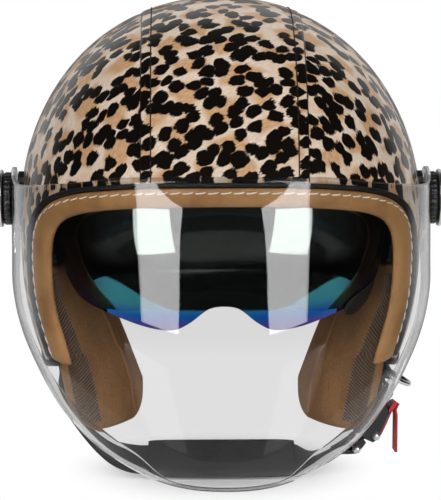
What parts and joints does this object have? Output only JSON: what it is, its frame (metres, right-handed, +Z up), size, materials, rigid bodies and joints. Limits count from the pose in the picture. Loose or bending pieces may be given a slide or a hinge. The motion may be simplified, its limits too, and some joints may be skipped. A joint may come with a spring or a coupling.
{
  "type": "open face motorcycle helmet",
  "caption": "Leather-covered open face helmet with a tilting clear bubble visor, a retractable mirrored sun visor and a chin strap with a ratchet buckle.",
  "frame": {"origin": "centre of the bounding box in X and Y, at the lowest point of the fastened chin strap", "axes": "+Z up through the crown, -Y out of the face opening, +X to the wearer's left"},
  "size_m": [0.2688, 0.3146, 0.2853],
  "materials": {
    "printed_leather": "gloss lacquered leather with a printed spotted coat pattern",
    "shell_plastic": "moulded composite, matt inside",
    "foam": "moulded expanded foam, fine beaded surface",
    "tan_leather": "smooth tan leather with saddle stitching",
    "tan_fabric": "brushed tan suede fabric over foam",
    "black_rubber": "satin black rubber",
    "black_plastic": "satin moulded plastic",
    "clear_plastic": "clear polished polycarbonate",
    "mirror_lens": "dark tinted lens with a blue and violet mirror coat",
    "bright_steel": "bright satin metal",
    "webbing": "black woven webbing",
    "red_plastic": "red moulded plastic",
    "red_ribbon": "red woven ribbon"
  },
  "bodies": {
    "shell": {"cover_left": "printed_leather", "cover_right": "printed_leather", "cover_centre": "printed_leather", "outer_shell": "shell_plastic", "eps_liner": "foam", "eps_side_left": "foam", "eps_side_right": "foam", "face_lining": "tan_leather", "crown_liner_centre": "tan_fabric", "crown_liner_left": "tan_fabric", "crown_liner_right": "tan_fabric", "brow_band": "tan_fabric", "neck_roll": "tan_fabric", "cheek_pad_left": "tan_fabric", "cheek_pad_right": "tan_fabric", "face_edge_trim": "black_rubber", "bottom_edge_trim": "black_rubber", "visor_base_left": "black_plastic", "visor_base_right": "black_plastic", "visor_cap_left": "black_plastic", "visor_cap_right": "black_plastic", "sun_visor_bracket_left": "black_plastic", "sun_visor_bracket_right": "black_plastic", "buckle_housing": "black_plastic", "ratchet_tongue": "black_plastic", "visor_disc_left": "bright_steel", "visor_disc_right": "bright_steel", "visor_screw_left": "bright_steel", "visor_screw_right": "bright_steel", "visor_nut_left": "bright_steel", "visor_nut_right": "bright_steel", "strap_rivet_left": "bright_steel", "strap_rivet_right": "bright_steel", "lever_pin": "bright_steel", "tongue_pin": "bright_steel", "chin_strap_left": "webbing", "chin_strap_right": "webbing", "chin_pad": "webbing", "d_ring_loop": "webbing"},
    "visor": {"clear_visor": "clear_plastic"},
    "sun_shield": {"sun_visor": "mirror_lens", "sun_visor_tab": "black_rubber"},
    "lever": {"release_lever": "red_plastic", "pull_ribbon": "red_ribbon"},
    "ring": {"d_ring": "bright_steel"}
  },
  "joints": [
    {"name": "visor_tilt", "type": "hinge", "parent": "shell", "child": "visor", "pos_m": [0, 0.00824, 0.16561], "axis": [-1, 0, 0], "range_deg": [0, 62]},
    {"name": "sun_visor_lift", "type": "hinge", "parent": "shell", "child": "sun_shield", "pos_m": [0, 0.00824, 0.16561], "axis": [-1, 0, 0], "range_deg": [0, 38]},
    {"name": "lever_release", "type": "hinge", "parent": "shell", "child": "lever", "pos_m": [0.09202, -0.01281, 0.02407], "axis": [-0.0424, 0.995, -0.0908], "range_deg": [0, 35], "stiffness_Nm_per_rad": 0.01, "springref_deg": -17.19},
    {"name": "ring_swing", "type": "hinge", "parent": "shell", "child": "ring", "pos_m": [0.1017, -0.0098, 0.0608], "axis": [0, -1, 0], "range_deg": [-15, 50]}
  ]
}
